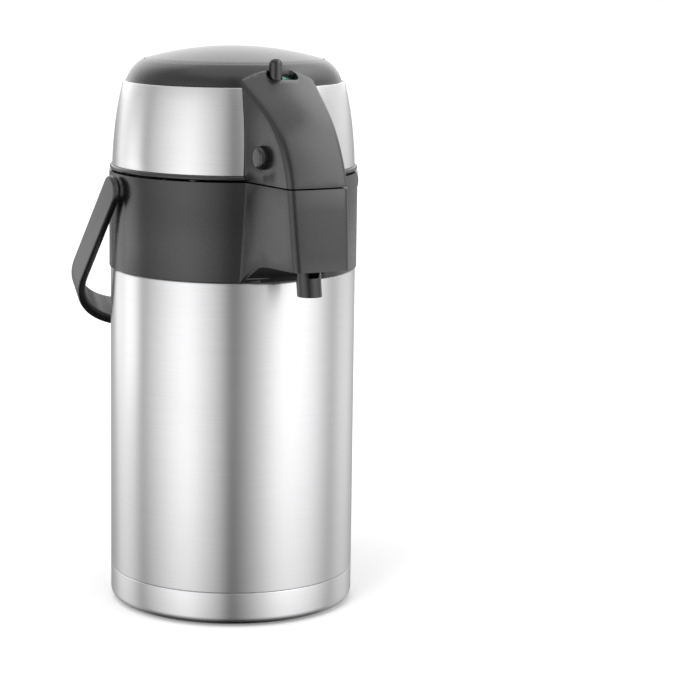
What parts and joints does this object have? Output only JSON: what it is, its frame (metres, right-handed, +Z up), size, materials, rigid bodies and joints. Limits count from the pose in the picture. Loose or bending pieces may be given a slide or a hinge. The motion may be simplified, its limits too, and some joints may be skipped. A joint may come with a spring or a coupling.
{
  "type": "pump pot",
  "caption": "Steel vacuum pump pot with a press dome in a hinged head, a beak spout with a nozzle, a lock lever, release buttons and a swinging carrying handle.",
  "frame": {"origin": "on the pot's axis at the underside of the base pad, where the pot stands", "axes": "+Z up the pot's axis, -Y towards the spout, +Y towards the head's hinge, -X to the left of the spout as seen from behind it"},
  "size_m": [0.165, 0.2187, 0.343],
  "materials": {
    "steel": "satin, drawn round the body",
    "dark_plastic": "satin moulding",
    "black_plastic": "satin moulding",
    "teal_plastic": "smooth moulding",
    "pale_plastic": "plain moulding",
    "rubber": "fine grain",
    "hardware_steel": "plain"
  },
  "bodies": {
    "pot": {"outer_shell": "steel", "base_cup": "steel", "base_pad": "rubber", "inner_liner": "steel", "neck_seal": "rubber", "mouth_ring": "pale_plastic", "tube_grommet": "rubber", "outlet_elbow": "pale_plastic", "dip_tube": "pale_plastic", "valve_housing": "pale_plastic", "nozzle": "black_plastic", "spout_floor": "dark_plastic", "collar": "dark_plastic", "deck_plate": "dark_plastic", "deck_screws": "hardware_steel", "hinge_pin": "hardware_steel"},
    "valve_ball": {"valve_ball": "hardware_steel"},
    "handle": {"handle": "dark_plastic", "handle_pins": "hardware_steel"},
    "head": {"lid_cap": "dark_plastic", "lid_band": "steel", "lid_rim": "dark_plastic", "lid_floor": "dark_plastic", "lid_screws": "hardware_steel", "lid_gasket": "rubber", "air_flap": "rubber", "pump_housing": "pale_plastic", "bellows_base": "pale_plastic", "bellows": "rubber", "return_spring": "hardware_steel", "button_spring_left": "hardware_steel", "button_spring_right": "hardware_steel"},
    "press": {"press_plate": "dark_plastic", "bellows_cap": "pale_plastic"},
    "lock": {"lock_slide": "teal_plastic", "lock_lever": "black_plastic"},
    "button_left": {"release_button_left": "black_plastic", "latch_claw_left": "pale_plastic"},
    "button_right": {"release_button_right": "black_plastic", "latch_claw_right": "pale_plastic"}
  },
  "joints": [
    {"name": "head_hinge", "type": "hinge", "parent": "pot", "child": "head", "pos_m": [0, 0.082, 0.266], "axis": [-1, 0, 0], "range_deg": [0, 80]},
    {"name": "press_stroke", "type": "slide", "parent": "head", "child": "press", "axis": [0, 0, 1], "range_m": [-0.02, 0], "stiffness_N_per_m": 600, "springref_m": 0.015, "deforming": ["bellows", "return_spring"]},
    {"name": "lock_turn", "type": "hinge", "parent": "head", "child": "lock", "pos_m": [0, 0, 0.31], "axis": [0, 0, 1], "range_deg": [0, 8]},
    {"name": "button_left_press", "type": "slide", "parent": "head", "child": "button_left", "axis": [1, 0, 0], "range_m": [0, 0.0025], "stiffness_N_per_m": 1500, "springref_m": -0.003, "deforming": ["button_spring_left"]},
    {"name": "button_right_press", "type": "slide", "parent": "head", "child": "button_right", "axis": [-1, 0, 0], "range_m": [0, 0.0025], "stiffness_N_per_m": 1500, "springref_m": -0.003, "deforming": ["button_spring_right"]},
    {"name": "handle_swing", "type": "hinge", "parent": "pot", "child": "handle", "pos_m": [0, 0, 0.258], "axis": [1, 0, 0], "range_deg": [0, 214]},
    {"name": "valve_lift", "type": "slide", "parent": "pot", "child": "valve_ball", "axis": [0, 0, 1], "range_m": [0, 0.0035]}
  ]
}
